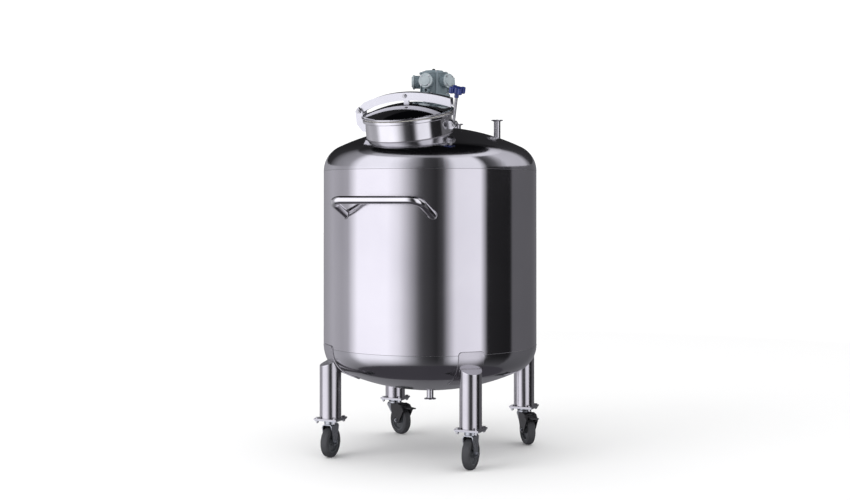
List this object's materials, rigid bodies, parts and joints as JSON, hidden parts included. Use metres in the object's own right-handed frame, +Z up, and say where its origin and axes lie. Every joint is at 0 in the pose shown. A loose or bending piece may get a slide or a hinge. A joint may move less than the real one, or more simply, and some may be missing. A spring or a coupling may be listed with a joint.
{
  "type": "bulk milk tank",
  "caption": "Upright stainless milk tank on four legs with castors, with a clamped manway lid, push handle, tri-clamp ports and an air driven agitator.",
  "frame": {"origin": "on the tank's axis at floor level", "axes": "+Z up along the tank's axis, -Y towards the front with the manway and push handle, +X to the right seen from the front"},
  "size_m": [0.9, 1.006, 1.6182],
  "materials": {
    "shell_steel": "satin polished stainless, fine vertical reflection bands",
    "head_steel": "mirror polished dished stainless",
    "neck_steel": "polished stainless",
    "lid_steel": "mirror polished stainless dome",
    "silicone_seal": "pale food grade silicone",
    "bright_steel": "bright polished stainless plate",
    "fastener_steel": "plain machined stainless",
    "blue_plastic": "glossy blue nylon",
    "handle_steel": "mirror polished stainless tube",
    "ferrule_steel": "turned and polished stainless",
    "leg_steel": "satin stainless tube, vertical grain",
    "pad_steel": "satin stainless plate",
    "plate_steel": "satin stainless plate",
    "zinc_steel": "bright zinc plated pressed steel",
    "adaptor_steel": "machined aluminium",
    "seal_carbon": "dark carbon and polymer seal cartridge",
    "motor_paint": "grey-blue enamel over cast metal",
    "cap_paint": "pale grey-blue enamel, machined face",
    "black_plastic": "black moulded nylon",
    "shaft_steel": "polished stainless bar",
    "tyre_rubber": "dark grey solid rubber",
    "hub_plastic": "dark grey moulded hub"
  },
  "bodies": {
    "tank": {"agitator_nozzle": "ferrule_steel", "bottom_head": "head_steel", "castor_bolts": "fastener_steel", "clamp_lugs": "bright_steel", "clamp_pin": "fastener_steel", "cylinder_heads": "cap_paint", "drain_ferrule": "ferrule_steel", "fixed_fork_front_left": "zinc_steel", "fixed_fork_front_right": "zinc_steel", "flange_bolts": "fastener_steel", "foot_plates": "plate_steel", "front_axles": "zinc_steel", "hinge_bolt": "fastener_steel", "hinge_lugs": "bright_steel", "leg_caps": "leg_steel", "leg_pads": "pad_steel", "leg_tubes": "leg_steel", "lid_gasket": "silicone_seal", "manway_neck": "neck_steel", "manway_rim": "neck_steel", "motor_adaptor": "adaptor_steel", "motor_bolts": "fastener_steel", "motor_cover": "motor_paint", "motor_crankcase": "motor_paint", "motor_cylinders": "motor_paint", "push_handle": "handle_steel", "rear_ferrule": "ferrule_steel", "shaft_seal": "seal_carbon", "shell_barrel": "shell_steel", "side_ferrule": "ferrule_steel", "swivel_plate_rear_left": "zinc_steel", "swivel_plate_rear_right": "zinc_steel", "top_head": "head_steel", "vent_plug": "black_plastic"},
    "lid": {"manway_lid": "lid_steel", "lid_link": "bright_steel", "clamp_arm": "bright_steel", "lid_bolt": "fastener_steel"},
    "swing_bolt": {"swing_bolt": "fastener_steel"},
    "star_knob": {"star_knob": "blue_plastic"},
    "agitator": {"agitator_shaft": "shaft_steel", "impeller": "shaft_steel"},
    "wheel_front_left": {"tyre_front_left": "tyre_rubber", "wheel_hub_front_left": "hub_plastic"},
    "wheel_front_right": {"tyre_front_right": "tyre_rubber", "wheel_hub_front_right": "hub_plastic"},
    "swivel_rear_left": {"swivel_fork_rear_left": "zinc_steel", "axle_rear_left": "zinc_steel", "brake_cover_rear_left": "black_plastic"},
    "pedal_rear_left": {"brake_pedal_rear_left": "black_plastic"},
    "wheel_rear_left": {"tyre_rear_left": "tyre_rubber", "wheel_hub_rear_left": "hub_plastic"},
    "swivel_rear_right": {"swivel_fork_rear_right": "zinc_steel", "axle_rear_right": "zinc_steel", "brake_cover_rear_right": "black_plastic"},
    "pedal_rear_right": {"brake_pedal_rear_right": "black_plastic"},
    "wheel_rear_right": {"tyre_rear_right": "tyre_rubber", "wheel_hub_rear_right": "hub_plastic"}
  },
  "joints": [
    {"name": "lid_hinge", "type": "hinge", "parent": "tank", "child": "lid", "pos_m": [-0.211, -0.23093, 1.43006], "axis": [0, -0.9724, -0.2334], "range_deg": [0, 100]},
    {"name": "swing_bolt_hinge", "type": "hinge", "parent": "tank", "child": "swing_bolt", "pos_m": [0.197, -0.21482, 1.36297], "axis": [0, 0.9724, 0.2334], "range_deg": [-12.5, 84]},
    {"name": "knob_spin", "type": "hinge", "parent": "swing_bolt", "child": "star_knob", "pos_m": [0.197, -0.21482, 1.36297], "axis": [0.2164, -0.2279, 0.9493], "continuous": true},
    {"name": "agitator_spin", "type": "hinge", "parent": "tank", "child": "agitator", "pos_m": [0, 0.038, 0.36], "axis": [0, 0, 1], "continuous": true},
    {"name": "wheel_spin_front_left", "type": "hinge", "parent": "tank", "child": "wheel_front_left", "pos_m": [-0.31113, -0.31113, 0.0625], "axis": [1, 0, 0], "continuous": true},
    {"name": "wheel_spin_front_right", "type": "hinge", "parent": "tank", "child": "wheel_front_right", "pos_m": [0.31113, -0.31113, 0.0625], "axis": [1, 0, 0], "continuous": true},
    {"name": "swivel_rear_left", "type": "hinge", "parent": "tank", "child": "swivel_rear_left", "pos_m": [-0.31113, 0.31113, 0.137], "axis": [0, 0, 1], "continuous": true},
    {"name": "brake_rear_left", "type": "hinge", "parent": "swivel_rear_left", "child": "pedal_rear_left", "pos_m": [-0.24185, 0.27113, 0.124], "axis": [0.5, 0.866, 0], "range_deg": [0, 18]},
    {"name": "wheel_spin_rear_left", "type": "hinge", "parent": "swivel_rear_left", "child": "wheel_rear_left", "pos_m": [-0.27389, 0.28963, 0.0625], "axis": [0.5, 0.866, 0], "continuous": true},
    {"name": "swivel_rear_right", "type": "hinge", "parent": "tank", "child": "swivel_rear_right", "pos_m": [0.31113, 0.31113, 0.137], "axis": [0, 0, 1], "continuous": true},
    {"name": "brake_rear_right", "type": "hinge", "parent": "swivel_rear_right", "child": "pedal_rear_right", "pos_m": [0.36255, 0.24984, 0.124], "axis": [0.766, 0.6428, 0], "range_deg": [0, 18]},
    {"name": "wheel_spin_rear_right", "type": "hinge", "parent": "swivel_rear_right", "child": "wheel_rear_right", "pos_m": [0.33877, 0.27819, 0.0625], "axis": [0.766, 0.6428, 0], "continuous": true}
  ]
}
